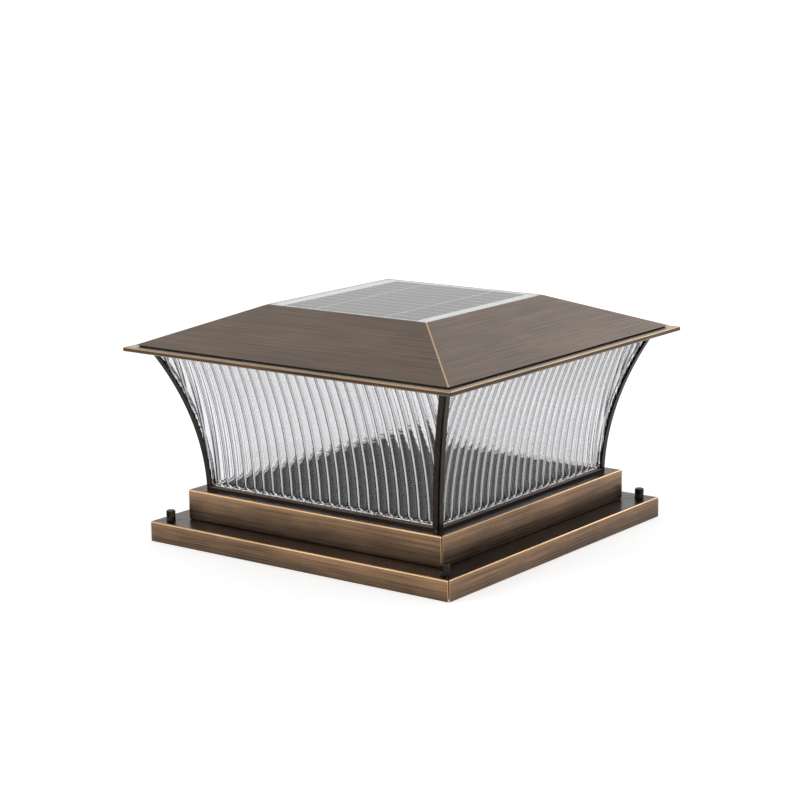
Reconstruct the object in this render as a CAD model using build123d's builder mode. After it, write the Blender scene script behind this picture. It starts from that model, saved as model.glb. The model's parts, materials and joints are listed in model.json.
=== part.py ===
from build123d import *
from math import asin, ceil, degrees, radians, sqrt, tan
import os

# Square solar light for the top of a gate pillar. Millimetres, +Z up, origin at the middle
# of the base where it stands on the pillar. The front faces -Y. "Half" is a distance from
# the middle to a side, as the light is square and every side repeats round the Z axis.

os.makedirs("parts", exist_ok=True)


def quarters(*places):
    """Turn about Z of each of these places, a quarter apart."""
    return {place: 90 * step for step, place in enumerate(places)}


SIDES = quarters("front", "right", "back", "left")
CORNERS = quarters("front_right", "back_right", "back_left", "front_left")
DOWN = (Align.CENTER, Align.CENTER, Align.MAX)      # a solid that hangs from its point

# Sheet metal
sheet = 1.0                 # brushed steel sheet
bend = 1.6                  # outside radius of a fold in the two steps
seam_gap = 0.9              # open seam between two mitred ends
tight_seam = 0.2            # closed seam of the rails, eave and roof

# Two steps of the base
base_half = 150.0
lower_height = 16.6
step_in = 22.3              # upper step behind the lower one
ledge_overlap = 15.7        # of the lower ledge under the upper step
upper_half = base_half - step_in
upper_height = 25.0
upper_foot = 8.0            # foot flange of the upper step
upper_ledge = 26.0          # top flange of the upper step

# Sill rails round the foot of the lantern
sill_inset = 10.2           # behind the upper step
sill_half = upper_half - sill_inset
sill_height = 2.8
sill_width = 8.4

# Corner posts
groove = 1.15               # open groove down the corner, half of its width
strip = 4.8                 # width of the strip on each face

# Fluted panels of clear plastic, with the flutes down their outer face
flute_pitch = 9.65
flute_depth = 1.0
flute_flats = 3             # flats across a flute, with their edges on its round section
pane = 2.2                  # clear sheet behind the flutes
pane_setback = 3.0          # ridges behind the strips' face
pane_margin = 1.6           # plain lower edge, below the flutes
pane_seam = 0.6             # between two panels at a corner
seat = 0.1                  # play under a panel or at a post's ends

# Eave
eave_half = 161.7
eave_height = 3.7
eave_bend = 1.1
eave_lip = 12.4             # lower flange
eave_flange = 33.5          # upper flange
head_room = 118.5           # from the top of the base to the top of the flange inside the eave

# Flare of the lantern: the corner strips follow one arc, upright below the foot
flare_foot_inset = 0.3
flare_foot_half = sill_half - flare_foot_inset
flare_foot_depth = 6.8      # of the upright point below the top of the base
flare_head_gap = 2.2        # between the strips and the eave's lower flange

# Ceiling, seal and roof
ceiling_inset = 22.7
ceiling_half = eave_half - ceiling_inset
seal_thickness = 1.45
roof_inset = 7.1
roof_half = eave_half - roof_inset
roof_rise = 29.0
roof_top_half = 79.8
roof_flange = 26.6          # lower flange of a roof side
seal_setback = 2.1          # seal behind the roof's lower edge
rim_land = 1.0              # edge of the sheet round the solar panel
rim_drop = 3.7              # depth of the tray that holds the solar panel
rim_flange = 8.8

# Solar panel, glued into the top of the roof
panel_play = 0.2
glass = 2.0
cell = 0.3
ribbon = 0.2
cell_count = 12
cell_margin_x = 12.1        # white border at the ends of the strips
cell_margin_y = 4.6
cell_gap = 0.9
ribbon_width = 1.8
ribbon_at = 34.5            # from the middle, along X

# Lights under the ceiling
board_length = 190.0
board_width = 10.0
board_thickness = 1.2
board_inset = 27.0
board_half = ceiling_half - board_inset
chip_size = 5.0
chip_height = 1.4
chip_count = 9
chip_pitch = 20.0

# Floor plate
floor_inset = 18.9
floor_half = upper_half - floor_inset
grommet_inset = 14.8
grommet_at = floor_half - grommet_inset
grommet_hole = 4.0          # radius
ceiling_grommet_inset = 17.5
ceiling_grommet_at = ceiling_half - ceiling_grommet_inset

# Battery tray under the floor
cell_radius = 9.2
cell_body = 65.0
battery_count = 3
battery_gap = 0.8
tray_wall = 1.6
tray_play = 0.4
tray_ear = 8.0
tray_at = (24.0, -22.0)

# Control board under the floor
control_size = (66.0, 46.0)
control_thickness = 1.6
control_corner = 2.0
control_inset = 56.8        # of its middle, from the floor's edges
control_at = (control_inset - floor_half, floor_half - control_inset)
standoff_radius = 2.6
standoff_length = 7.0
standoff_inset = 4.5

# Power button, pressed up from under the base
switch_size = 8.5
switch_height = 9.0
button_size = 5.2
button_length = 11.0
button_out = 6.5
button_travel = 2.0
button_play = 0.15
switch_from_board = (-14.0, -8.0)
switch_at = (control_at[0] + switch_from_board[0], control_at[1] + switch_from_board[1])

# Thumb screws at the four corners of the lower ledge, M5 x 0.8
screw_inset = 12.0
screw_at = base_half - screw_inset
screw_radius = 2.5
head_radius = 3.75
head_height = 4.9
neck_radius = 3.1
neck_height = 0.5
collar_radius = 3.8
collar_height = 2.9
screw_sides = 12
end_chamfer = 0.6           # of the screws' and the button's ends
thread_play = 0.08
hole_play = 0.3
screw_engaged = 8.0

# Corner plates under the ledge, and the cross on the pillar
corner_plate = 2.0
corner_plate_size = 33.0
cross_thickness = 3.0
cross_width = 26.0
cross_inset = 3.5           # the cross's arms end just inside the lower step
cross_half = base_half - cross_inset
standoff_height = 10.0
standoff_outer = 5.0        # hexagon, to its corners
anchor_spacing = 160.0
anchor_radius = 3.5

# Small hidden fasteners; they and their holes have eight sides, which keeps them light
fastener_radius = 1.5
fastener_sides = 8
fastener_head = 2.8         # hexagon, to its corners
fastener_head_height = 1.7
nut_radius = 3.0            # hexagon, to its corners
nut_height = 2.2
roof_screw_inset = 28.1
roof_screw_half = eave_half - roof_screw_inset
roof_screw_spread = 76.0
floor_screw_inset = 22.5
floor_screw_half = upper_half - floor_screw_inset
floor_screw_spread = 66.0

# Leads
lead_radius = 0.8
lead_faces = 6
lead_side = 2.3             # between two leads, side by side
lead_clear = 3.0            # between the leads and the panels' inner corner
lead_bend = 40.0            # largest radius of a bend
lead_bend_share = 0.45      # of the shorter run at a bend that its arc takes
lead_turn = 16.0            # straight run into the clamp
lead_rise = 8.5             # of the run inside the roof, above the roof's lower flange
ceiling_drop = 19.0         # straight down from the ceiling's grommet
board_drop = 11.0           # straight down from a light board
floor_rise = 9.0            # straight up from the floor's grommet
post_heights = (0.7, 0.45, 0.18)    # bends behind the post, in shares of the head room
solder_at = 62.0
clamp_pitch = 6.0
ring_sides = 12
grommet_bore = 3.3
grommet_lip = 1.2

# Levels that follow from the sizes above
upper_top = lower_height + upper_height
sill_top = upper_top + sill_height
floor_top = upper_top + sheet
eave_inside = upper_top + head_room
eave_top = eave_inside + sheet
eave_bottom = eave_top - eave_height
ceiling_bottom = eave_inside - sheet
roof_bottom = eave_top + seal_thickness
roof_top = roof_bottom + roof_rise
panel_bottom = roof_top - rim_drop
panel_half = roof_top_half - rim_land - panel_play
cell_length = 2 * (panel_half - cell_margin_x)      # along X
cell_field = 2 * (panel_half - cell_margin_y)       # all strips, along Y
flare_foot_z = upper_top - flare_foot_depth
flare_out = eave_half - eave_lip - flare_head_gap - flare_foot_half
flare_radius = ((eave_bottom - flare_foot_z) ** 2 + flare_out**2) / (2 * flare_out)
flare_centre_half = flare_foot_half + flare_radius
ridge_radius = flare_radius + pane_setback
back_radius = ridge_radius + flute_depth + pane


def flare_half(height, offset=0.0):
    """Half-width of the flare at a height, or of a curve further inside it."""
    radius = flare_radius + offset
    return flare_centre_half - sqrt(radius**2 - (height - flare_foot_z) ** 2)


def folded(points, radius=bend):
    """Section of a folded sheet for the front side; points are (half, height) of its outer face."""
    outline = [(-half, height) for half, height in points]
    with BuildSketch(Plane.YZ) as section:
        with BuildLine():
            fold = FilletPolyline(*outline, radius=radius)
            offset(fold, amount=sheet, side=Side.RIGHT)
        make_face()
    return section.sketch


def mitre(side, gap):
    """Cut both ends of a front side on the diagonals, leaving an open seam of this gap."""
    with BuildPart() as cut:
        add(side)
        for hand in (-1, 1):
            seam = Plane(origin=(0, -gap / sqrt(2), 0), z_dir=(hand, 1, 0))
            split(bisect_by=seam, keep=Keep.BOTTOM)
    return cut.part


def save(piece, name):
    piece.label = name
    export_step(piece, f"parts/{name}.step")


def save_round(front, stem, places):
    """Write the front piece and its three copies round the Z axis."""
    for place, turn in places.items():
        with BuildPart() as copy:
            add(front.rotate(Axis.Z, turn))
        save(copy.part, f"{stem}_{place}")


def holes(points, level, radius=fastener_radius, sides=fastener_sides):
    """Pins at these points, to cut holes through this level; the radius is to their flats."""
    with BuildPart() as pins:
        with BuildSketch(Plane.XY.offset(level)):
            with Locations(*points):
                RegularPolygon(radius, sides, major_radius=False)
        extrude(amount=2 * sheet, both=True)
    return pins.part


# Lower step: a folded strip, wall and ledge, with half a screw hole in each mitred end
with BuildPart() as lower_step:
    ledge_end = upper_half - ledge_overlap
    extrude(folded([(base_half, 0), (base_half, lower_height), (ledge_end, lower_height)]),
            amount=base_half, both=True)
    screw_points = [(hand * screw_at, -screw_at) for hand in (-1, 1)]
    add(holes(screw_points, lower_height, screw_radius + hole_play, screw_sides), mode=Mode.SUBTRACT)
save_round(mitre(lower_step.part, seam_gap), "lower_step", SIDES)

# Upper step: foot flange, wall and ledge
floor_screw_points = [(spread * floor_screw_spread, -floor_screw_half) for spread in (-1, 0, 1)]
with BuildPart() as upper_step:
    extrude(folded([(upper_half - upper_foot, lower_height), (upper_half, lower_height),
                    (upper_half, upper_top), (upper_half - upper_ledge, upper_top)]),
            amount=upper_half, both=True)
    add(holes(floor_screw_points, upper_top), mode=Mode.SUBTRACT)
save_round(mitre(upper_step.part, seam_gap), "upper_step", SIDES)

# Corner plates: welded under the lower ledge, they hold the mitred corners and the screws
with BuildPart() as corner_plates:
    plate_half = base_half - bend - corner_plate_size / 2
    with BuildSketch(Plane.XY.offset(lower_height - sheet)):
        with GridLocations(2 * plate_half, 2 * plate_half, 2, 2):
            Rectangle(corner_plate_size, corner_plate_size)
        with GridLocations(2 * screw_at, 2 * screw_at, 2, 2):
            RegularPolygon(screw_radius + hole_play, screw_sides, major_radius=False, mode=Mode.SUBTRACT)
    extrude(amount=-corner_plate)
save(corner_plates.part, "corner_plates")

# Sill rails: folded channels, with their ends mitred in the plane of the face against the posts
with BuildPart() as sill_rail:
    sill_back = sill_half - sill_width
    extrude(folded([(sill_half, upper_top), (sill_half, sill_top),
                    (sill_back, sill_top), (sill_back, upper_top)], radius=eave_bend),
            amount=sill_half, both=True)
    sill_end = flare_half(upper_top) - groove - tight_seam
    for hand in (-1, 1):
        face_mitre = Plane(origin=(hand * sill_end, 0, upper_top), z_dir=(hand * sill_height, 0, strip))
        split(bisect_by=face_mitre, keep=Keep.BOTTOM)
save_round(mitre(sill_rail.part, 2 * groove + 2 * sheet), "sill_rail", SIDES)


# Corner posts: two strips with folded-in edges that meet behind an open groove. A block between
# two offsets of the flare, seen from the front, meets a block between two offsets seen from the side.
def flare_band(plane, near, far, low, high):
    """Band between two offsets of the flare, as a sketch; the half runs along the plane's x."""
    with BuildSketch(plane) as band:
        with BuildLine():
            edges = []
            for inset in (near, far):
                ends = [(flare_half(z) - inset, z) for z in (low, (low + high) / 2, high)]
                edges.append(ThreePointArc(*ends))
            Line(edges[0] @ 0, edges[1] @ 0)
            Line(edges[0] @ 1, edges[1] @ 1)
        make_face()
    return band.sketch


def flare_block(x_insets, y_insets, low, high):
    """Part of the front right corner that lies between these insets along X and along Y."""
    with BuildPart() as block:
        extrude(flare_band(Plane.XZ, *x_insets, low, high), amount=eave_half)
        across = flare_band(Plane.YZ.rotated((0, 0, 180)), *y_insets, low, high)
        extrude(across, amount=eave_half, both=True, mode=Mode.INTERSECT)
    return block.part


post_top = eave_inside - seat
fold_edge = groove + sheet
with BuildPart() as corner_post:
    add(flare_block((groove, groove + strip), (0, sheet), upper_top, post_top))
    add(flare_block((groove, fold_edge), (0, fold_edge), upper_top, post_top))
    foot = Plane(origin=(flare_half(upper_top) - groove, 0, upper_top), z_dir=(sill_height, 0, strip))
    split(bisect_by=foot, keep=Keep.TOP)
    mirror(about=Plane(origin=(0, 0, 0), z_dir=(1, 1, 0)))
    add(flare_block((groove, fold_edge), (groove, fold_edge), upper_top, post_top))
save_round(corner_post.part, "corner_post", CORNERS)

# Fluted panels: a plain margin, then the fluted plan section, turned about the axis of the flare
foot_angle = degrees(asin((sill_top + seat - flare_foot_z) / ridge_radius))
flute_angle = degrees(asin((sill_top + seat + pane_margin - flare_foot_z) / ridge_radius))
head_angle = degrees(asin((eave_inside - seat - flare_foot_z) / back_radius))
ridge_line = -(flare_foot_half - pane_setback)
back_line = ridge_line + flute_depth + pane
flute_pairs = ceil(flare_half(eave_inside) / flute_pitch)
panel_reach = flute_pairs * flute_pitch
flute_outline = []
for edge in range(2 * flute_pairs * flute_flats + 1):
    from_middle = 2 * (edge % flute_flats) / flute_flats - 1
    depth = flute_depth * (1 - from_middle**2)
    flute_outline.append((edge * flute_pitch / flute_flats - panel_reach, ridge_line + depth))
plain_outline = [flute_outline[0], flute_outline[-1]]
with BuildPart() as fluted_panel:
    axis = Axis((0, -flare_centre_half, flare_foot_z), (1, 0, 0))
    for outline, low, high in ((plain_outline, foot_angle, flute_angle),
                               (flute_outline, flute_angle, head_angle)):
        with BuildSketch(Plane.XY.offset(flare_foot_z)) as section:
            with BuildLine():
                Polyline(*outline, (panel_reach, back_line), (-panel_reach, back_line), close=True)
            make_face()
        revolve(section.sketch.rotate(axis, low), axis=axis, revolution_arc=high - low)
save_round(mitre(fluted_panel.part, pane_seam), "fluted_panel", SIDES)

# Eave: a folded channel with a lower flange, a narrow edge and a wide upper flange
roof_screw_points = [(spread * roof_screw_spread / 2, -roof_screw_half) for spread in (-1, 1)]
with BuildPart() as eave:
    extrude(folded([(eave_half - eave_lip, eave_bottom), (eave_half, eave_bottom),
                    (eave_half, eave_top), (eave_half - eave_flange, eave_top)], radius=eave_bend),
            amount=eave_half, both=True)
    add(holes(roof_screw_points, eave_top), mode=Mode.SUBTRACT)
save_round(mitre(eave.part, tight_seam), "eave", SIDES)

# Roof: each side is one sheet, folded in at the eave and down into a tray for the solar panel
tray_half = roof_top_half - rim_land
roof_points = [(roof_half - roof_flange, roof_bottom), (roof_half, roof_bottom), (roof_top_half, roof_top),
               (tray_half, roof_top), (tray_half, panel_bottom), (tray_half - rim_flange, panel_bottom)]
with BuildPart() as roof_side:
    with BuildSketch(Plane.YZ) as roof_section:
        with BuildLine():
            roof_line = Polyline(*[(-half, height) for half, height in roof_points])
            offset(roof_line, amount=sheet, side=Side.RIGHT, kind=Kind.INTERSECTION)
        make_face()
    extrude(amount=roof_half, both=True)
    add(holes(roof_screw_points, roof_bottom), mode=Mode.SUBTRACT)
save_round(mitre(roof_side.part, tight_seam), "roof_side", SIDES)

# Seal between eave and roof: four strips of foam rubber
with BuildPart() as seal_side:
    with BuildSketch(Plane.YZ) as seal_section:
        seal_width = roof_flange - seal_setback
        with Locations((-(roof_half - seal_setback), eave_top)):
            Rectangle(seal_width, seal_thickness, align=(Align.MIN, Align.MIN))
    extrude(amount=roof_half, both=True)
    add(holes(roof_screw_points, eave_top), mode=Mode.SUBTRACT)
seal_front = mitre(seal_side.part, tight_seam)
with BuildPart() as roof_seal:
    for turn in SIDES.values():
        add(seal_front.rotate(Axis.Z, turn))
save(roof_seal.part, "roof_seal")

# Ceiling plate under the eave's flange
with BuildPart() as ceiling_plate:
    with BuildSketch(Plane.XY.offset(ceiling_bottom)):
        Rectangle(2 * ceiling_half, 2 * ceiling_half)
        for turn in SIDES.values():
            with Locations(*[Vector(x, y, 0).rotate(Axis.Z, turn) for x, y in roof_screw_points]):
                RegularPolygon(fastener_radius, fastener_sides, mode=Mode.SUBTRACT)
        with Locations((-ceiling_grommet_at, ceiling_grommet_at)):
            RegularPolygon(grommet_hole, ring_sides, mode=Mode.SUBTRACT)
    extrude(amount=sheet)
save(ceiling_plate.part, "ceiling_plate")

# Floor plate on the upper ledge, with pressed standoffs for the control board underneath
standoff_x = control_size[0] - 2 * standoff_inset
standoff_y = control_size[1] - 2 * standoff_inset
with BuildPart() as floor_plate:
    with BuildSketch(Plane.XY.offset(upper_top)):
        Rectangle(2 * floor_half, 2 * floor_half)
        with Locations((-grommet_at, grommet_at)):
            RegularPolygon(grommet_hole, ring_sides, mode=Mode.SUBTRACT)
    extrude(amount=sheet)
    with BuildSketch(Plane.XY.offset(upper_top)):
        with Locations(control_at):
            with GridLocations(standoff_x, standoff_y, 2, 2):
                RegularPolygon(standoff_radius, fastener_sides)
    extrude(amount=-standoff_length)
save(floor_plate.part, "floor_plate")


def screw(bottom, length):
    """Small screw that points up from this height, as a solid at the middle."""
    with BuildPart() as fastener:
        with BuildSketch(Plane.XY.offset(bottom)):
            RegularPolygon(fastener_radius - thread_play, fastener_sides)
        extrude(amount=length)
        with BuildSketch(Plane.XY.offset(bottom)):
            RegularPolygon(fastener_head, 6)
        extrude(amount=-fastener_head_height)
    return fastener.part


def round_the_sides(piece, points):
    """Copies of a piece at these points of the front side, and the same on the other three."""
    with BuildPart() as copies:
        for turn in SIDES.values():
            for x, y in points:
                add(piece.moved(Location(Vector(x, y, 0).rotate(Axis.Z, turn))))
    return copies.part


# Screws from below, through the upper ledge and up against the floor plate
save(round_the_sides(screw(upper_top - sheet, sheet), floor_screw_points), "floor_screws")

# Roof screws: from below through ceiling, eave and seal into nuts on the roof's lower flange
stack = roof_bottom + sheet - ceiling_bottom
roof_screw = screw(ceiling_bottom, stack + nut_height)
save(round_the_sides(roof_screw, roof_screw_points), "roof_screws")

with BuildPart() as roof_nut:
    with BuildSketch(Plane.XY.offset(roof_bottom + sheet)):
        RegularPolygon(nut_radius, 6)
        RegularPolygon(fastener_radius, fastener_sides, mode=Mode.SUBTRACT)
    extrude(amount=nut_height)
save(round_the_sides(roof_nut.part, roof_screw_points), "roof_nuts")

# Solar panel: white backing, twelve cell strips, two ribbons and the glass, which is
# recessed underneath so that it closes round the cells
cells_bottom = roof_top - glass - ribbon - cell
strip_pitch = (cell_field + cell_gap) / cell_count
with BuildPart() as panel_backing:
    with BuildSketch(Plane.XY.offset(panel_bottom)):
        Rectangle(2 * panel_half, 2 * panel_half)
    extrude(amount=cells_bottom - panel_bottom)
save(panel_backing.part, "panel_backing")

with BuildPart() as solar_cells:
    with BuildSketch(Plane.XY.offset(cells_bottom)):
        with GridLocations(0, strip_pitch, 1, cell_count):
            Rectangle(cell_length, strip_pitch - cell_gap)
    extrude(amount=cell)
save(solar_cells.part, "solar_cells")

with BuildPart() as cell_ribbons:
    with BuildSketch(Plane.XY.offset(cells_bottom + cell)):
        with GridLocations(2 * ribbon_at, 0, 2, 1):
            Rectangle(ribbon_width, cell_field)
    extrude(amount=ribbon)
save(cell_ribbons.part, "cell_ribbons")

with BuildPart() as solar_glass:
    with BuildSketch(Plane.XY.offset(cells_bottom)):
        Rectangle(2 * panel_half, 2 * panel_half)
    extrude(amount=roof_top - cells_bottom)
    with BuildSketch(Plane.XY.offset(cells_bottom)):
        Rectangle(cell_length, cell_field)
    extrude(amount=cell + ribbon, mode=Mode.SUBTRACT)
save(solar_glass.part, "solar_glass")

# Light boards glued under the ceiling, each with a row of lights
board_bottom = ceiling_bottom - board_thickness
with BuildPart() as light_boards:
    for turn in SIDES.values():
        with BuildSketch(Plane.XY.offset(board_bottom).rotated((0, 0, turn))):
            with Locations((0, -board_half)):
                Rectangle(board_length, board_width)
        extrude(amount=board_thickness)
save(light_boards.part, "light_boards")

with BuildPart() as light_chips:
    for turn in SIDES.values():
        with BuildSketch(Plane.XY.offset(board_bottom - chip_height).rotated((0, 0, turn))):
            with Locations((0, -board_half)):
                with GridLocations(chip_pitch, 0, chip_count, 1):
                    Rectangle(chip_size, chip_size)
        extrude(amount=chip_height)
save(light_chips.part, "light_chips")

# Battery: round cells side by side in a tray that hangs under the floor plate
row_width = battery_count * 2 * cell_radius + (battery_count - 1) * battery_gap
tray_inside = (cell_body + 2 * tray_play, row_width + 2 * tray_play)
tray_depth = 2 * cell_radius + 2 * tray_play
with BuildPart() as battery_cells:
    with BuildSketch(Plane.YZ.offset(tray_at[0] - cell_body / 2)):
        with Locations((tray_at[1], upper_top - tray_depth + cell_radius)):
            with GridLocations(2 * cell_radius + battery_gap, 0, battery_count, 1):
                Circle(cell_radius)
    extrude(amount=cell_body)
save(battery_cells.part, "battery_cells")

with BuildPart() as battery_tray:
    with BuildSketch(Plane.XY.offset(upper_top)):
        with Locations(tray_at):
            Rectangle(tray_inside[0] + 2 * tray_wall, tray_inside[1] + 2 * tray_wall)
    extrude(amount=-(tray_depth + tray_wall))
    with BuildSketch(Plane.XY.offset(upper_top)):
        with Locations(tray_at):
            Rectangle(tray_inside[0] + 2 * (tray_wall + tray_ear), 2 * tray_ear)
    extrude(amount=-tray_wall)
    with BuildSketch(Plane.XY.offset(upper_top)):
        with Locations(tray_at):
            Rectangle(*tray_inside)
    extrude(amount=-tray_depth, mode=Mode.SUBTRACT)
    fillet(battery_tray.edges().filter_by(Axis.Z).group_by(SortBy.LENGTH)[-1], radius=tray_wall)
save(battery_tray.part, "battery_tray")

# Control board with its parts on the underside
control_top = upper_top - standoff_length
control_bottom = control_top - control_thickness
with BuildPart() as control_board:
    with BuildSketch(Plane.XY.offset(control_bottom)):
        with Locations(control_at):
            RectangleRounded(*control_size, radius=control_corner)
    extrude(amount=control_thickness)
save(control_board.part, "control_board")

# Parts as (x, y) from the board's middle, with their sizes
coil_at, coil_radius, coil_height = (6.0, -8.0), 5.0, 5.5
can_at, can_radius, can_height = (22.0, -12.0), 3.2, 10.0
chip_at, chip_body = (8.0, 10.0), (10.0, 6.0, 1.6)
clamp_at, clamp_body = (-16.0, 14.5), (18.0, 8.0, 9.0)
with BuildPart() as board_parts:
    with Locations(Location((*control_at, control_bottom))):
        with Locations(coil_at):
            Cylinder(coil_radius, coil_height, align=DOWN)
        with Locations(can_at):
            Cylinder(can_radius, can_height, align=DOWN)
        with Locations(chip_at):
            Box(*chip_body, align=DOWN)
        with Locations(clamp_at):
            Box(*clamp_body, align=DOWN)
save(board_parts.part, "board_parts")

# Power switch, and its button, which stands out below and is pressed up
with BuildPart() as switch_body:
    with BuildSketch(Plane.XY.offset(control_bottom)):
        with Locations(switch_at):
            Rectangle(switch_size, switch_size)
    extrude(amount=-switch_height)
    with BuildSketch(Plane.XY.offset(control_bottom - switch_height)):
        with Locations(switch_at):
            Rectangle(button_size + 2 * button_play, button_size + 2 * button_play)
    extrude(amount=button_length - button_out + button_travel + button_play, mode=Mode.SUBTRACT)
save(switch_body.part, "switch_body")

with BuildPart() as switch_button:
    with BuildSketch(Plane.XY.offset(control_bottom - switch_height - button_out)):
        with Locations(switch_at):
            Rectangle(button_size, button_size)
    extrude(amount=button_length)
    chamfer(switch_button.faces().sort_by(Axis.Z)[0].edges(), length=end_chamfer)
save(switch_button.part, "switch_button")

# Thumb screws with a collar under the head, which rides up with the screw
collar_top = lower_height + collar_height
head_bottom = collar_top + neck_height
standoff_top = cross_thickness + standoff_height
screw_end = standoff_top - screw_engaged
with BuildPart() as thumb_screw:
    with BuildSketch(Plane.XY.offset(head_bottom)):
        RegularPolygon(head_radius, screw_sides)
    extrude(amount=head_height)
    with BuildSketch(Plane.XY.offset(collar_top)):
        RegularPolygon(neck_radius, screw_sides)
    extrude(amount=neck_height)
    with BuildSketch(Plane.XY.offset(screw_end)):
        RegularPolygon(screw_radius - thread_play, screw_sides)
    extrude(amount=collar_top - screw_end)
    chamfer(thumb_screw.faces().sort_by(Axis.Z)[0].edges(), length=end_chamfer)
with BuildPart() as screw_collar:
    with BuildSketch(Plane.XY.offset(lower_height)):
        RegularPolygon(collar_radius, screw_sides)
        RegularPolygon(screw_radius, screw_sides, major_radius=False, mode=Mode.SUBTRACT)
    extrude(amount=collar_height)
for place, turn in CORNERS.items():
    corner = Vector(screw_at, -screw_at, 0).rotate(Axis.Z, turn)
    for stem, piece in (("thumb_screw", thumb_screw.part), ("screw_collar", screw_collar.part)):
        with BuildPart() as placed:
            add(piece.moved(Location(corner)))
        save(placed.part, f"{stem}_{place}")

# Mounting cross on the pillar, with anchor holes, and threaded standoffs at its ends
with BuildPart() as mounting_cross:
    with BuildSketch():
        for turn in (45, -45):
            Rectangle(3 * cross_half, cross_width, rotation=turn)
        Rectangle(2 * cross_half, 2 * cross_half, mode=Mode.INTERSECT)
        with GridLocations(anchor_spacing, anchor_spacing, 2, 2):
            Circle(anchor_radius, mode=Mode.SUBTRACT)
    extrude(amount=cross_thickness)
save(mounting_cross.part, "mounting_cross")

with BuildPart() as screw_standoffs:
    with BuildSketch(Plane.XY.offset(cross_thickness)):
        with GridLocations(2 * screw_at, 2 * screw_at, 2, 2):
            RegularPolygon(standoff_outer, 6)
            RegularPolygon(screw_radius, screw_sides, major_radius=False, mode=Mode.SUBTRACT)
    extrude(amount=standoff_height)
save(screw_standoffs.part, "screw_standoffs")


# Leads: down behind the far left corner post, through a grommet in the ceiling and one in the
# floor, to the clamp on the control board. Each keeps its own side of the corner's diagonal.
def lead(points):
    """Tube along straight runs joined by tangent arcs, each as wide as its shorter run allows."""
    corners = [Vector(*point) for point in points]
    radii = []
    for before, here, after in zip(corners, corners[1:], corners[2:]):
        shorter = min((here - before).length, (after - here).length)
        turn = radians((here - before).get_angle(after - here))
        radii.append(min(lead_bend, lead_bend_share * shorter / tan(turn / 2)))
    with BuildPart() as tube:
        with BuildLine() as route:
            FilletPolyline(*corners, radius=radii)
        with BuildSketch(Plane(origin=route.line @ 0, z_dir=route.line % 0)):
            RegularPolygon(lead_radius, lead_faces)
        sweep()
    return tube.part


def beside(half, height, side):
    """Point on the far left diagonal at this half and height, moved to one side of it."""
    return (-half + side / sqrt(2), half + side / sqrt(2), height)


def behind_post(height, side):
    """Point inside the corner between two panels."""
    return beside(flare_half(height, back_radius - flare_radius) - lead_clear, height, side)


def lead_to_clamp(side, clamp_side):
    """Lower stretch: behind the post, through the floor and into the clamp."""
    clamp_x = control_at[0] + clamp_at[0] + clamp_side
    clamp_y = control_at[1] + clamp_at[1] + clamp_body[1] / 2
    clamp_z = control_bottom - clamp_body[2] / 2
    down_post = [behind_post(floor_top + share * head_room, side) for share in post_heights]
    return [*down_post, beside(grommet_at, floor_top + floor_rise, side),
            beside(grommet_at, clamp_z, side), (clamp_x, clamp_y + lead_turn, clamp_z),
            (clamp_x, clamp_y, clamp_z)]


def solar_lead(side, clamp_side):
    """Lead from under the solar panel, through the roof and the ceiling."""
    in_roof = roof_bottom + lead_rise
    return lead([beside(solder_at, panel_bottom, side), beside(solder_at, in_roof, side),
                 beside(ceiling_grommet_at, in_roof, side),
                 beside(ceiling_grommet_at, ceiling_bottom - ceiling_drop, side),
                 *lead_to_clamp(side, clamp_side)])


with BuildPart() as lead_black:
    add(solar_lead(0, 0))
save(lead_black.part, "lead_black")

# The red node also has the lead from the end of the left light board
with BuildPart() as lead_red:
    add(solar_lead(-lead_side, -clamp_pitch))
    board_end = (-board_half, board_length / 2 - 2 * lead_radius)
    add(lead([(*board_end, board_bottom), (*board_end, board_bottom - board_drop),
              *lead_to_clamp(lead_side, clamp_pitch)]))
save(lead_red.part, "lead_red")

with BuildPart() as lead_grommets:
    for half, plate_bottom in ((ceiling_grommet_at, ceiling_bottom), (grommet_at, upper_top)):
        for level, height, radius in ((plate_bottom - grommet_lip, grommet_lip, grommet_hole + grommet_lip),
                                      (plate_bottom, sheet, grommet_hole),
                                      (plate_bottom + sheet, grommet_lip, grommet_hole + grommet_lip)):
            with BuildSketch(Plane.XY.offset(level)):
                with Locations((-half, half)):
                    RegularPolygon(radius, ring_sides)
                    RegularPolygon(grommet_bore, ring_sides, mode=Mode.SUBTRACT)
            extrude(amount=height)
save(lead_grommets.part, "lead_grommets")
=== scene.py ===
import json
from math import asin, cos, pi, radians, sin, sqrt, tan

import bmesh
import bpy
from mathutils import Matrix, Vector


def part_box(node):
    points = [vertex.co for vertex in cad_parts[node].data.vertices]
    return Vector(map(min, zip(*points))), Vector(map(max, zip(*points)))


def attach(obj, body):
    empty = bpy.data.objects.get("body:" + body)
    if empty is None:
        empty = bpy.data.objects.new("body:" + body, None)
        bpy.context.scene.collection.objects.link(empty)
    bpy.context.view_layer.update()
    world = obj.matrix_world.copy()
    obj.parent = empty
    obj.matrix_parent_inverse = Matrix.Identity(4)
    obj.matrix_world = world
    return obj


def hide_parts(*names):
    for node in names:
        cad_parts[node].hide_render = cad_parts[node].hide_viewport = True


# The looks of the solar pillar light. Metres, +Z up. The front faces -Y, and the near corner in
# the photograph is (+X, -Y). The boxes of single pieces come from the frame; the flare, the
# pitch of the flutes and the heights of the steps repeat named sizes of the CAD source.

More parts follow.
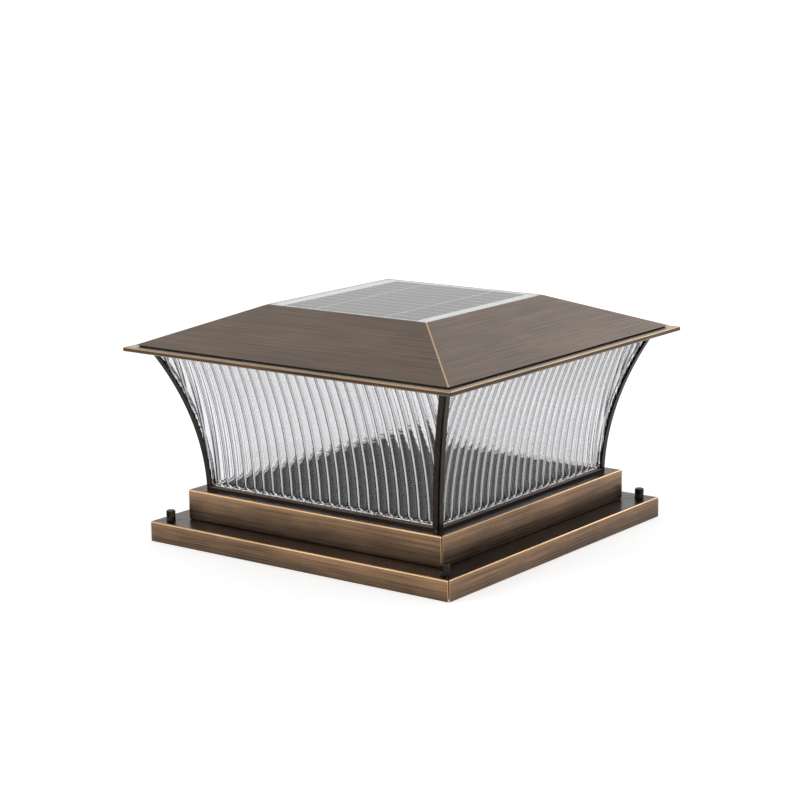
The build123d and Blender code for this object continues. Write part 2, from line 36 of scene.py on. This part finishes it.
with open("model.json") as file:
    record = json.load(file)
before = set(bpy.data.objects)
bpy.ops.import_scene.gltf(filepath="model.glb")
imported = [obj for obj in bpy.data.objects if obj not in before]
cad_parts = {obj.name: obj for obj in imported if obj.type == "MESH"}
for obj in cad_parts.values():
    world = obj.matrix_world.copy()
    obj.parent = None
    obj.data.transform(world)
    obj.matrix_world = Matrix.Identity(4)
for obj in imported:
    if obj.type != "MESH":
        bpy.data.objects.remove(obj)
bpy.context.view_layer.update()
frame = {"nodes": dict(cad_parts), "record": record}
nodes = frame["nodes"]
mm = 0.001

SIDES = {"front": 0, "right": 90, "back": 180, "left": 270}
CORNERS = ("front_right", "back_right", "back_left", "front_left")
SQUARE = ((-1, -1), (1, -1), (1, 1), (-1, 1))

# Flare of the lantern, as in the CAD source
flare_radius = 266.3 * mm
flare_foot_half = 117.2 * mm
flare_foot_z = 34.8 * mm
flare_centre_half = flare_foot_half + flare_radius

# Fluted panels: flutes on a round section with narrow ridges between them
flute_pitch = 9.65 * mm
flute_radius = 17.0 * mm
pane_thickness = 3.2 * mm       # whole panel, from the ridges to its flat back
pane_setback = 3.0 * mm         # ridges behind the posts' face
pane_seam = 0.6 * mm            # between two panels at a corner
ridge_radius = 0.62 * mm
wall_tilt = radians(64)         # steepest side of a ridge, from the face
wall_depth = 0.28 * mm
fillet_radius = 0.45 * mm       # between that side and the flute
shade_width = 1.35 * mm         # strip of painted shade at the foot of each ridge, on one side of it
edge_strip = 0.9 * mm           # clear strip along the posts, where the last flutes run out
end_foot = 1.0 * mm             # plain edge below the lowest flute ends
end_height = 3.9 * mm           # rounded lower end of a flute
end_wall = 0.4 * mm             # from that end up to the full depth
end_rim = 0.55                  # of half a flute that the painted highlight round its rim covers at the lower end
ridge_steps, fillet_steps, flute_steps = 4, 4, 6    # faces of each round part of the section
end_rows, body_rows = 24, 20    # rows of faces over the rounded ends and above them
same_point = 1e-7               # points of the mesh closer than this are one

# Thumb screws, inside the boxes of the CAD's plain ones
thread_pitch = 0.8 * mm
thread_depth = 0.3 * mm
thread_start = 0.8              # of half a pitch, from the shank's end to the first thread
shank_radius = 2.42 * mm
shank_tip = 0.7                 # of the shank's radius, at its end
neck_radius = 3.1 * mm
neck_height = 0.5 * mm
head_play = 0.03 * mm
head_chamfer = 0.4 * mm
head_sides = 64
knurl_depth = 0.22 * mm
knurl_rows = 9
knurl_above_foot = 0.8 * mm
knurl_below_top = 0.6 * mm
head_crown = ((0.45, 0.1), (0.7, 0.0), (1.2, 0.02), (1.5, 0.3))     # mm inwards and down

# Collars under their heads, with a shallow groove round the middle
collar_bore = 2.5 * mm
collar_play = 0.02 * mm
collar_round = 0.25 * mm
round_share = 0.3               # of that rounding, at its middle point
collar_groove = 0.2 * mm
collar_sides = 48

glass_chamfer = 0.25 * mm

# Heights of the two steps of the base
lower_top = 16.6 * mm
upper_top = 41.6 * mm

# Grain of the surfaces: cells of noise in a metre
hair_grain = (1700.0, 14.0)     # across and along the brushing
band_grain = (420.0, 4.0)
patch_grain = (16.0, 16.0, 32.0)
hair_shift, band_shift = 3.0, 11.0
noise_span = (0.3, 0.7)         # most values of a noise lie between these

# Bronze: value of the grain for its dark, middle and light tone
tone_dark, tone_middle, tone_light = 0.28, 0.52, 0.78
bronze_roughness = (0.24, 0.40)

# Its rubbed places, which also carry a painted highlight along the folds, by the parts of the
# normal that lie across and upright
rubbed_span, rubbed_share = (0.25, 0.6), (0.45, 0.95)
fold_blend, fold_upright = 0.2, (0.25, 0.5)
end_across, end_upright = (0.75, 0.72), (0.2, 0.1)      # mitred ends face along a diagonal
level_upright = (0.96, 0.985)
mitre_core, mitre_share = 0.7, 0.85

# Painted highlight on the steps' sides: from one height to another, and its values there
lower_painted_highlight = (3 * mm, lower_top - 2 * mm, -0.2, 1.0)
upper_painted_highlight = (lower_top + 2 * mm, upper_top - 3 * mm, -1.0, 1.0)

# Blackened brass, worn where the surface is pointed
worn_point = (0.52, 0.6)
worn_span, worn_share = (0.35, 0.65), (0.3, 0.9)
brass_roughness = (0.3, 0.45)

# Solar cells
finger_pitch = 2 * mm
finger_span = (0.42, 0.48)      # from the middle between two fingers, in pitches
finger_share = 0.5

# Paper floor, surroundings and lamps (place, side of the square, power)
floor_reach = 6.0
floor_drop = 0.2 * mm
floor_grey = 0.82
floor_glow = 0.53               # keeps the paper white where it is seen
painted_shadow_span = (0.10, 0.15)        # no glow under the base, from its middle, so the floor there is painted as shadow
world_light, world_seen = 0.62, 1.0
lamp_aim = Vector((0, 0, 0.1))
LAMPS = {
    "lamp_left": ((-1.2, -1.9, 0.9), 1.2, 13),
    "lamp_back": ((0.3, 1.9, 1.4), 1.0, 10),
}


def add_object(name, data):
    added = bpy.data.objects.new(name, data)
    bpy.context.scene.collection.objects.link(added)
    return added


# Camera, fitted to the corners of the light in the photograph
def add_camera():
    azimuth, elevation, roll = radians(37.352), radians(11.843), radians(-0.76)
    distance, aside, rise = 1818.47 * mm, -7.197 * mm, 106.004 * mm
    lens, sensor, nearest = 98.89, 36.0, 10 * mm
    back = Vector((sin(azimuth) * cos(elevation), -cos(azimuth) * cos(elevation), sin(elevation)))
    level_right = Vector((cos(azimuth), sin(azimuth), 0))
    level_up = back.cross(level_right)
    right = level_right * cos(roll) + level_up * sin(roll)
    up = level_up * cos(roll) - level_right * sin(roll)
    camera = add_object("camera", bpy.data.cameras.new("camera"))
    matrix = camera.matrix_world.copy()
    for row in range(3):
        matrix[row][0], matrix[row][1], matrix[row][2] = right[row], up[row], back[row]
    matrix.translation = back * distance + right * aside + up * rise
    camera.matrix_world = matrix
    camera.data.lens = lens
    camera.data.sensor_width = sensor
    camera.data.clip_start = nearest
    bpy.context.scene.camera = camera


# Node helpers: each material is built by one function from these
class Shader:
    """The node tree of one material or world."""

    def __init__(self, owner):
        owner.use_nodes = True
        self.tree = owner.node_tree
        self.tree.nodes.clear()

    def node(self, kind, settings=None, **inputs):
        node = self.tree.nodes.new(kind)
        for name, value in (settings or {}).items():
            setattr(node, name, value)
        for name, value in inputs.items():
            self.put(node, name.replace("_", " "), value)
        return node

    def put(self, node, socket, value):
        if isinstance(value, bpy.types.NodeSocket):
            self.tree.links.new(value, node.inputs[socket])
        else:
            node.inputs[socket].default_value = value

    def math(self, operation, *values):
        node = self.node("ShaderNodeMath", {"operation": operation})
        for index, value in enumerate(values):
            self.put(node, index, value)
        return node.outputs[0]

    def size(self, value):
        return self.math("ABSOLUTE", value)

    def times(self, first, second):
        return self.math("MULTIPLY", first, second)

    def place(self):
        """Position on the object; nodes sit at the origin, so this is the place in the frame."""
        return self.node("ShaderNodeTexCoord").outputs["Object"]

    def normal(self):
        return self.split(self.node("ShaderNodeNewGeometry").outputs["True Normal"])

    def split(self, vector):
        return self.node("ShaderNodeSeparateXYZ", Vector=vector).outputs

    def noise(self, stretch, detail=3.0, roughness=0.55, shift=0.0):
        """Noise with this many cells in a metre along X, Y and Z."""
        scaled = self.node("ShaderNodeMapping", Vector=self.place(), Scale=stretch,
                           Location=(shift, shift, shift))
        node = self.node("ShaderNodeTexNoise", Vector=scaled.outputs[0], Scale=1.0,
                         Detail=detail, Roughness=roughness)
        return node.outputs["Fac"]

    def ramp(self, value, low, high, start=0.0, end=1.0):
        """Value mapped from low..high to start..end, clamped."""
        node = self.node("ShaderNodeMapRange", {"clamp": True}, Value=value,
                         From_Min=low, From_Max=high, To_Min=start, To_Max=end)
        return node.outputs[0]

    def mix(self, share, first, second):
        """Colour between two; the node's sockets for colours follow those for other kinds."""
        node = self.node("ShaderNodeMix", {"data_type": "RGBA"})
        for socket, value in ((0, share), (6, first), (7, second)):
            self.put(node, socket, value)
        return node.outputs[2]

    def mix_values(self, share, first, second):
        node = self.node("ShaderNodeMix", {"data_type": "FLOAT"})
        for socket, value in ((0, share), (2, first), (3, second)):
            self.put(node, socket, value)
        return node.outputs[0]

    def bump(self, height, strength, distance):
        node = self.node("ShaderNodeBump", Height=height, Strength=strength, Distance=distance)
        return node.outputs[0]

    def finish(self, surface):
        out = self.node("ShaderNodeOutputMaterial")
        self.tree.links.new(surface.outputs[0], out.inputs["Surface"])

    def principled(self, extra, **inputs):
        """Main surface; extra has further inputs by the names of their sockets."""
        surface = self.node("ShaderNodeBsdfPrincipled", **inputs)
        self.finish(surface)
        for socket, value in extra.items():
            surface.inputs[socket].default_value = value


def rgb(red, green, blue):
    """Colour as a screen shows it, 0 to 255, turned into the linear value that a socket takes."""
    def linear(value):
        share = value / 255
        return share / 12.92 if share <= 0.04045 else ((share + 0.055) / 1.055) ** 2.4
    return (linear(red), linear(green), linear(blue), 1.0)


def new_material(name):
    material = bpy.data.materials.new(name)
    return material, Shader(material)


def bronze(name, grain, tones, edge=None, glow=None, level_painted_light=None, cloudy=0.4, banded=0.3,
           slope=0.28, mitre=0.0):
    """Brushed antique bronze, with its grain along one axis.

    tones: dark, middle and light colour of the grain
    edge: colour of rubbed places with a painted highlight, which are folds steeper than slope
    and, up to the width mitre, both sides of the mitres
    glow: strength of the painted highlight, how much lighter the sides of the steps are below
    their tops
    ledge: colour painted on level faces: painted shade on the steps' tops, a painted reflection
    of the sky on the eave's top
    cloudy, banded: strength of the patches and of the broad bands in the grain
    """
    material, shader = new_material(name)
    dark, middle, light = tones

    def streak(cells, shift):
        across, along = cells
        return shader.noise([along if axis == grain else across for axis in "xyz"], detail=2.0,
                            shift=shift)

    hairs = streak(hair_grain, hair_shift)
    bands = streak(band_grain, band_shift)
    patches = shader.noise(patch_grain, detail=4.0, roughness=0.6)
    tone = shader.mix_values(banded, hairs, bands)
    tone = shader.math("ADD", tone, shader.times(shader.math("SUBTRACT", patches, 0.5), cloudy))
    # Painted highlight: the sides of the steps are lighter near their top folds and darker below
    if glow:
        tone = shader.math("ADD", tone, shader.times(painted_highlight_below_tops(shader), glow))
    colour = shader.mix(shader.ramp(tone, tone_dark, tone_middle), dark, middle)
    colour = shader.mix(shader.ramp(tone, tone_middle, tone_light), colour, light)
    # Rubbed plating, with a painted highlight along the folds
    if slope:
        rubbed = shader.ramp(patches, *rubbed_span, *rubbed_share)
        colour = shader.mix(shader.times(folds(shader, slope), rubbed), colour, edge)
    # Painted highlight along both sides of the mitres
    if mitre:
        colour = shader.mix(mitres(shader, mitre), colour, edge)
    # Painted light on level faces: painted shade on the steps' tops, a painted reflection of the
    # sky on the eave's top
    if level_painted_light:
        colour = shader.mix(painted_level_faces(shader), colour, level_painted_light)
    shader.principled({"Coat Weight": 0.1, "Coat Roughness": 0.2}, Base_Color=colour,
                      Metallic=0.9, Roughness=shader.ramp(hairs, *noise_span, *bronze_roughness),
                      Normal=shader.bump(hairs, 0.25, 0.06 * mm))
    return material


def folds(shader, slope):
    """1 on folds steeper than this slope and on the mitred ends, where the plating is rubbed and
    a painted highlight runs along the bends.
    """
    normal = shader.normal()
    across = shader.math("MAXIMUM", shader.size(normal[0]), shader.size(normal[1]))
    upright = shader.size(normal[2])
    sharp = shader.times(shader.ramp(across, slope, slope + fold_blend),
                         shader.ramp(upright, *fold_upright))
    ends = shader.times(shader.ramp(across, *end_across), shader.ramp(upright, *end_upright))
    return shader.math("MAXIMUM", sharp, ends)


# Mask of the level faces, which take the painted shade of the steps' tops and the painted
# reflection of the eave's top
def painted_level_faces(shader):
    return shader.ramp(shader.normal()[2], *level_upright)


def mitres(shader, reach):
    """Painted highlight as a hairline along each mitre, where the two diagonals of the light
    cross its faces.
    """
    place = shader.split(shader.place())
    gap = shader.math("SUBTRACT", shader.size(place[0]), shader.size(place[1]))
    return shader.ramp(shader.size(gap), mitre_core * reach, reach, mitre_share, 0.0)


def painted_highlight_below_tops(shader):
    """Painted highlight on the steps' sides: falls from 1 at the top fold of each step to -1 at
    the foot of the upper one.
    """
    height = shader.split(shader.place())[2]
    lower = shader.ramp(height, *lower_painted_highlight)
    upper = shader.ramp(height, *upper_painted_highlight)
    return shader.mix_values(shader.math("GREATER_THAN", height, lower_top + mm), lower, upper)


def plain(name, colour, roughness, metallic=0.0, variation=0.06, grain=180.0, **extra):
    """Moulded, painted or plated surface with a slight change of tone and a fine texture."""
    material, shader = new_material(name)
    tone = shader.noise((grain, grain, grain))
    shade = [channel * (1 - 4 * variation) for channel in colour[:3]] + [1.0]
    base = shader.mix(shader.ramp(tone, *noise_span), shade, colour)
    rough = shader.ramp(tone, *noise_span, roughness * 0.9, min(1.0, roughness * 1.1))
    shader.principled({socket.replace("_", " "): value for socket, value in extra.items()},
                      Base_Color=base, Metallic=metallic, Roughness=rough,
                      Normal=shader.bump(tone, 0.05, 0.1 * mm))
    return material


def clear(name, colour, ior, roughness, through=1.0, coat=0.0):
    """Clear plastic or glass; through is how much of the light passes instead of scattering."""
    material, shader = new_material(name)
    haze = shader.noise((90.0, 90.0, 90.0), detail=2.0)
    rough = shader.ramp(haze, *noise_span, roughness * 0.7, roughness * 1.3)
    shader.principled({"Transmission Weight": through, "Coat Weight": coat,
                       "Coat Roughness": 0.06, "IOR": ior}, Base_Color=colour, Roughness=rough)
    return material


def silicon(name):
    """Dark cells with fine pale fingers across each strip."""
    material, shader = new_material(name)
    x = shader.split(shader.place())[0]
    share = shader.math("FRACT", shader.math("DIVIDE", x, finger_pitch))
    finger = shader.size(shader.math("SUBTRACT", share, 0.5))
    tone = shader.noise((30.0, 30.0, 30.0), detail=2.0)
    base = shader.mix(shader.ramp(tone, *noise_span), rgb(24, 25, 34), rgb(36, 37, 46))
    fingers = shader.ramp(finger, *finger_span, 0.0, finger_share)
    base = shader.mix(fingers, base, rgb(86, 88, 95))
    shader.principled({"Specular IOR Level": 0.1}, Base_Color=base, Roughness=0.45)
    return material


def knurled(name, colour, worn):
    """Blackened brass, rubbed bare on the points of the knurl and the edges."""
    material, shader = new_material(name)
    point = shader.node("ShaderNodeNewGeometry").outputs["Pointiness"]
    tone = shader.noise((900.0, 900.0, 900.0))
    wear = shader.times(shader.ramp(point, *worn_point),
                        shader.ramp(tone, *worn_span, *worn_share))
    shader.principled({}, Base_Color=shader.mix(wear, colour, worn), Metallic=0.85,
                      Roughness=shader.ramp(tone, *noise_span, *brass_roughness))
    return material


# Bronze pieces, with the grain along each strip
step_tones = (rgb(52, 40, 31), rgb(102, 80, 61), rgb(154, 122, 91))
roof_tones = (rgb(58, 46, 35), rgb(92, 74, 58), rgb(128, 106, 86))
eave_tones = (rgb(46, 36, 28), rgb(76, 60, 46), rgb(112, 91, 70))
post_tones = (rgb(22, 17, 15), rgb(37, 29, 25), rgb(60, 48, 40))
# edge colours: rubbed plating with a painted highlight along the folds and mitres
BRONZE_LOOKS = {
    # The steps' level tops are painted dark as shade
    "step": dict(tones=step_tones, edge=rgb(200, 164, 122), glow=0.16, level_painted_light=rgb(42, 34, 26),
                 mitre=1.5 * mm),
    # The sill rails take the posts' near-black tones as painted shade
    "sill": dict(tones=post_tones, edge=rgb(90, 70, 52)),
    # The eave's level top is painted light as a reflection of the sky
    "eave": dict(tones=eave_tones, edge=rgb(176, 146, 112), level_painted_light=rgb(166, 152, 132)),
    "roof": dict(tones=roof_tones, edge=rgb(218, 182, 142), cloudy=0.3, banded=0.12, slope=0.45,
                 mitre=0.9 * mm),
    "post": dict(tones=post_tones, slope=0.0),
}
BRONZE_KINDS = {"lower_step": "step", "upper_step": "step", "sill_rail": "sill", "eave": "eave",
                "roof_side": "roof", "corner_post": "post"}
BRONZE = {(kind, grain): bronze(f"bronze_{kind}_{grain}", grain, **look)
          for kind, look in BRONZE_LOOKS.items() for grain in ("z" if kind == "post" else "xy")}

PLAIN_LOOKS = {
    "floor_steel": dict(colour=rgb(20, 20, 22), roughness=0.85, Specular_IOR_Level=0.1),
    "white_steel": dict(colour=rgb(226, 226, 224), roughness=0.45),
    "zinc_steel": dict(colour=rgb(176, 178, 182), roughness=0.35, metallic=0.9, grain=60.0),
    "black_rubber": dict(colour=rgb(26, 26, 27), roughness=0.75),
    "white_laminate": dict(colour=rgb(242, 241, 240), roughness=0.5, variation=0.01),
    "tinned_copper": dict(colour=rgb(186, 186, 190), roughness=0.4, metallic=0.5),
    "lamp_yellow": dict(colour=rgb(238, 214, 120), roughness=0.35, variation=0.03),
    "battery_sleeve": dict(colour=rgb(40, 84, 150), roughness=0.3),
    "black_plastic": dict(colour=rgb(34, 34, 35), roughness=0.5),
    "board_green": dict(colour=rgb(24, 92, 48), roughness=0.35),
    "red_plastic": dict(colour=rgb(190, 36, 28), roughness=0.35),
    "red_pvc": dict(colour=rgb(214, 40, 28), roughness=0.4),
}
SLOT_MATERIALS = {slot: plain(slot, **look) for slot, look in PLAIN_LOOKS.items()}
SLOT_MATERIALS["acrylic"] = clear("acrylic", rgb(245, 245, 247), 1.49, 0.012)
SLOT_MATERIALS["clear_glass"] = clear("clear_glass", rgb(250, 251, 251), 1.34, 0.02)
SLOT_MATERIALS["silicon"] = silicon("silicon")
SLOT_MATERIALS["black_brass"] = knurled("black_brass", rgb(40, 34, 29), rgb(118, 94, 70))

# Zones of a fluted panel, in the order of its materials; the ridges carry a painted highlight
IN_FLUTE, ON_RIDGE_HIGHLIGHT, IN_SHADE = range(3)
PANEL_MATERIALS = (
    SLOT_MATERIALS["acrylic"],
    # Ridges: milky white, nearly opaque acrylic as a painted highlight along each ridge
    clear("ridge_highlight_acrylic", rgb(254, 254, 254), 1.49, 0.25, through=0.05, coat=0.7),
    # Beside the ridges: near-black acrylic as painted shade
    clear("shade_acrylic", rgb(16, 16, 17), 1.49, 0.03),
)


def node_material(name, slot):
    if slot != "bronze":
        return SLOT_MATERIALS[slot]
    kind = next(kind for stem, kind in BRONZE_KINDS.items() if name.startswith(stem))
    strip = "x" if name.endswith(("front", "back")) else "y"
    return BRONZE[kind, "z" if kind == "post" else strip]


for part in frame["record"]["subparts"]:
    part_materials = nodes[part["node"]].data.materials
    part_materials.clear()
    part_materials.append(node_material(part["node"], part["material_slot"]))


# Pieces with their own meshes, in place of plain ones of the CAD
def to_data(mesh, name, *materials):
    data = bpy.data.meshes.new(name)
    mesh.to_mesh(data)
    mesh.free()
    for material in materials:
        data.materials.append(material)
    return data


def add_piece(data, body, node):
    piece = add_object(data.name, data)
    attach(piece, body)
    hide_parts(node)


def flare_half(height, inset):
    """Half width of the lantern at a height, this far inside the posts' face."""
    return flare_centre_half - sqrt((flare_radius + inset) ** 2 - (height - flare_foot_z) ** 2)


def add_arc(section, tilt_from, tilt_to, radius, steps):
    """Adds points of a rounded edge to a section, across and down as its tilt changes."""
    across, depth = section[-1]
    for step in range(1, steps + 1):
        tilt = tilt_from + (tilt_to - tilt_from) * step / steps
        section.append((across + radius * abs(sin(tilt) - sin(tilt_from)),
                        depth + radius * abs(cos(tilt) - cos(tilt_from))))


def flute_section():
    """Half a flute, from the middle of a ridge to the middle of the flute: (across, depth)."""
    wall_across = wall_depth / tan(wall_tilt)
    reach = flute_pitch / 2 - wall_across - (ridge_radius + fillet_radius) * sin(wall_tilt)
    edge_tilt = asin(reach / (flute_radius - fillet_radius))
    section = [(0.0, 0.0)]
    add_arc(section, 0.0, wall_tilt, ridge_radius, ridge_steps)
    across, depth = section[-1]
    section.append((across + wall_across, depth + wall_depth))
    add_arc(section, wall_tilt, edge_tilt, fillet_radius, fillet_steps)
    add_arc(section, edge_tilt, 0.0, flute_radius, flute_steps)
    return section


FLUTE = flute_section()
ridge_half = FLUTE[ridge_steps + 1][0]


def flute_end(place):
    """Height of a flute's rounded lower end above the panel's foot, from -1 to 1 across it."""
    return end_foot + end_height * (1 - sqrt(max(0.0, 1 - place**2)))


def flute_zone(across, height, away):
    """Zone of a place on the fluted face: painted highlight on the ridges, painted shade beside
    them; away is the side of the ridges that is darker.
    """
    half = flute_pitch / 2
    beside = (across / flute_pitch + 0.5) % 1.0 * flute_pitch - half
    above_end = height - flute_end(1 - abs(beside) / half)
    if above_end < 0:
        return IN_FLUTE
    if abs(beside) < ridge_half or (above_end < end_wall and abs(beside) < end_rim * half):
        return ON_RIDGE_HIGHLIGHT
    shaded = beside * away > 0 and abs(beside) < ridge_half + shade_width
    return IN_SHADE if shaded else IN_FLUTE


def flute_columns(reach):
    """(across, depth, place in the flute from -1 to 1) from edge to edge of the panel."""
    half = flute_pitch / 2
    whole = FLUTE + [(flute_pitch - across, depth) for across, depth in reversed(FLUTE[:-1])]
    columns = []
    pairs = int(reach / flute_pitch) + 1
    for index in range(-pairs, pairs):
        for across, depth in whole[:-1]:
            columns.append((index * flute_pitch + across, depth, (across - half) / half))
    columns.append((pairs * flute_pitch, 0.0, -1.0))
    return columns


def panel_heights(foot, head):
    """Heights of the rows of points, closer together over the rounded ends of the flutes."""
    start = foot + end_foot + end_height + end_wall
    heights = [foot + (start - foot) * step / end_rows for step in range(end_rows)]
    return heights + [start + (head - start) * step / body_rows for step in range(body_rows + 1)]


def front_row(mesh, columns, foot, height):
    """Points across the fluted face, which ends flat at the seams with the next panels."""
    edge_line = flare_half(height, pane_setback)
    limit = edge_line - pane_seam / 2
    row = []
    for across, depth, place in columns:
        line = edge_line
        if abs(across) < limit:
            climb = min(1.0, max(0.0, (height - foot - flute_end(place)) / end_wall))
            line = flare_half(height, pane_setback + depth * climb)
        row.append(mesh.verts.new((max(-limit, min(limit, across)), -line, height)))
    return row


def rear_row(mesh, height):
    line = flare_half(height, pane_setback + pane_thickness)
    limit = line - pane_seam / 2
    return [mesh.verts.new((hand * limit, -line, height)) for hand in (-1, 1)]


def fluted_panel(side, turn):
    low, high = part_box(f"fluted_panel_{side}")
    foot = low.z
    columns = flute_columns(flare_half(high.z, pane_setback))
    heights = panel_heights(foot, high.z)
    mesh = bmesh.new()
    front = [front_row(mesh, columns, foot, height) for height in heights]
    rear = [rear_row(mesh, height) for height in heights]
    # Painted shade: a dark strip on one side of each ridge
    # Dark sides of the ridges: away from the photograph's near corner on the front and right
    # panels, and the same after half a turn of the light on the other two
    away = -1 if side in ("front", "back") else 1
    last = len(columns) - 1
    for index, (below, above) in enumerate(zip(front, front[1:])):
        height = (heights[index] + heights[index + 1]) / 2
        edge = flare_half(height, pane_setback) - edge_strip
        for column in range(last):
            beside = column + 1
            face = mesh.faces.new((below[column], below[beside], above[beside], above[column]))
            middle = (columns[column][0] + columns[beside][0]) / 2
            if abs(middle) < edge:
                face.smooth = True
                face.material_index = flute_zone(middle, height - foot, away)
    for (left, right), (left_above, right_above) in zip(rear, rear[1:]):
        mesh.faces.new((right, left, left_above, right_above))
    for index in range(len(heights) - 1):
        mesh.faces.new((rear[index][0], front[index][0], front[index + 1][0], rear[index + 1][0]))
        mesh.faces.new((front[index][last], rear[index][1],
                        rear[index + 1][1], front[index + 1][last]))
    mesh.faces.new(rear[0] + front[0][::-1])
    mesh.faces.new(rear[-1][::-1] + front[-1])
    bmesh.ops.remove_doubles(mesh, verts=mesh.verts, dist=same_point)
    bmesh.ops.rotate(mesh, verts=mesh.verts, cent=(0, 0, 0),
                     matrix=Matrix.Rotation(radians(turn), 3, "Z"))
    data = to_data(mesh, f"flutes_{side}", *PANEL_MATERIALS)
    add_piece(data, "lamp", f"fluted_panel_{side}")


def lathe(name, material, profile, centre, around, closed=False, knurl=range(0)):
    """Turned mesh from (radius, height) points; those in knurl step in and out in diamonds."""
    mesh = bmesh.new()
    rows = []
    for index, (radius, height) in enumerate(profile):
        row = []
        for step in range(around):
            angle = 2 * pi * step / around
            reach = radius - (knurl_depth if index in knurl and (step + index) % 2 else 0)
            row.append(mesh.verts.new((centre.x + reach * cos(angle),
                                       centre.y + reach * sin(angle), height)))
        rows.append(row)
    if not closed:
        mesh.faces.new(rows[0][::-1])
        mesh.faces.new(rows[-1])
    for below, above in zip(rows, rows[1:] + rows[:1] if closed else rows[1:]):
        for step in range(around):
            beside = (step + 1) % around
            mesh.faces.new((below[step], below[beside], above[beside], above[step]))
    return to_data(mesh, name, material)


def thumb_screw(corner):
    low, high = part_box(f"thumb_screw_{corner}")
    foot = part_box(f"screw_collar_{corner}")[1].z
    centre = (low + high) / 2
    head = high.x - centre.x - head_play
    threads = int((foot - low.z) / thread_pitch * 2) - 1
    profile = [(shank_tip * shank_radius, low.z)]
    profile += [(shank_radius - step % 2 * thread_depth,
                 low.z + (step + thread_start) * thread_pitch / 2) for step in range(threads)]
    profile += [(shank_radius, foot), (neck_radius, foot), (neck_radius, foot + neck_height),
                (head - head_chamfer, foot + neck_height)]
    knurl = range(len(profile), len(profile) + knurl_rows)
    start = foot + knurl_above_foot
    pitch = (high.z - knurl_below_top - start) / (knurl_rows - 1)
    profile += [(head, start + step * pitch) for step in range(knurl_rows)]
    profile += [(head - inwards * mm, high.z - down * mm) for inwards, down in head_crown]
    data = lathe(f"knurled_{corner}", SLOT_MATERIALS["black_brass"], profile, centre, head_sides,
                 knurl=knurl)
    add_piece(data, f"screw_{corner}", f"thumb_screw_{corner}")


def screw_collar(corner):
    low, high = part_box(f"screw_collar_{corner}")
    outer, middle = (high.x - low.x) / 2 - collar_play, (low.z + high.z) / 2
    lower_half = [(collar_bore, low.z), (outer - collar_round, low.z),
                  (outer - round_share * collar_round, low.z + round_share * collar_round),
                  (outer, low.z + collar_round), (outer, middle - collar_round)]
    upper_half = [(radius, 2 * middle - height) for radius, height in reversed(lower_half)]
    profile = [*lower_half, (outer - collar_groove, middle), *upper_half]
    data = lathe(f"ring_{corner}", SLOT_MATERIALS["black_rubber"], profile, (low + high) / 2,
                 collar_sides, closed=True)
    add_piece(data, f"collar_{corner}", f"screw_collar_{corner}")


def solar_pane():
    """Cover glass, open underneath because it is bonded to the cells there."""
    low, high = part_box("solar_glass")
    mesh = bmesh.new()
    rings = [[mesh.verts.new((x * (high.x - inset), y * (high.y - inset), height))
              for x, y in SQUARE]
             for inset, height in ((0.0, low.z), (0.0, high.z - glass_chamfer),
                                   (glass_chamfer, high.z))]
    for below, above in zip(rings, rings[1:]):
        for corner in range(4):
            beside = (corner + 1) % 4
            mesh.faces.new((below[corner], below[beside], above[beside], above[corner]))
    mesh.faces.new(rings[-1])
    data = to_data(mesh, "solar_pane", SLOT_MATERIALS["clear_glass"])
    add_piece(data, "lamp", "solar_glass")


# Paper floor, surroundings and lamps
def seen_rays(shader):
    path = shader.node("ShaderNodeLightPath").outputs
    seen = shader.math("MAXIMUM", path["Is Camera Ray"], path["Is Glossy Ray"])
    return shader.math("MAXIMUM", seen, path["Is Transmission Ray"])


def add_floor():
    material, shader = new_material("floor_paper")
    grey = (floor_grey, floor_grey, floor_grey, 1)
    place = shader.split(shader.place())
    # Painted shadow: the floor's glow fades out under the base
    from_middle = shader.math("MAXIMUM", shader.size(place[0]), shader.size(place[1]))
    glow_outside_painted_shadow = shader.ramp(from_middle, *painted_shadow_span, 0.0, floor_glow)
    diffuse = shader.node("ShaderNodeBsdfDiffuse", Color=grey)
    glow = shader.node("ShaderNodeEmission", Color=(1, 1, 1, 1),
                       Strength=shader.times(seen_rays(shader), glow_outside_painted_shadow))
    lit = shader.node("ShaderNodeAddShader")
    shader.put(lit, 0, diffuse.outputs[0])
    shader.put(lit, 1, glow.outputs[0])
    shader.finish(lit)
    data = bpy.data.meshes.new("floor")
    corners = [(x * floor_reach, y * floor_reach, 0) for x, y in SQUARE]
    data.from_pydata(corners, [], [(0, 1, 2, 3)])
    data.materials.append(material)
    floor = add_object("floor", data)
    floor.location.z = -floor_drop


def add_world():
    world = bpy.data.worlds.new("studio")
    bpy.context.scene.world = world
    shader = Shader(world)
    strength = shader.ramp(seen_rays(shader), 0.0, 1.0, world_light, world_seen)
    background = shader.node("ShaderNodeBackground", Color=(1, 1, 1, 1), Strength=strength)
    out = shader.node("ShaderNodeOutputWorld")
    shader.put(out, "Surface", background.outputs[0])


def add_lamp(name, place, side, power):
    lamp = bpy.data.lights.new(name, "AREA")
    lamp.shape = "SQUARE"
    lamp.size = side
    lamp.energy = power
    holder = add_object(name, lamp)
    holder.location = place
    holder.rotation_euler = (lamp_aim - Vector(place)).to_track_quat("-Z", "Y").to_euler()


solar_pane()
for side, turn in SIDES.items():
    fluted_panel(side, turn)
for corner in CORNERS:
    thumb_screw(corner)
    screw_collar(corner)
add_camera()
add_floor()
add_world()
for name, (place, side, power) in LAMPS.items():
    add_lamp(name, place, side, power)
bpy.context.scene.view_settings.view_transform = "Standard"
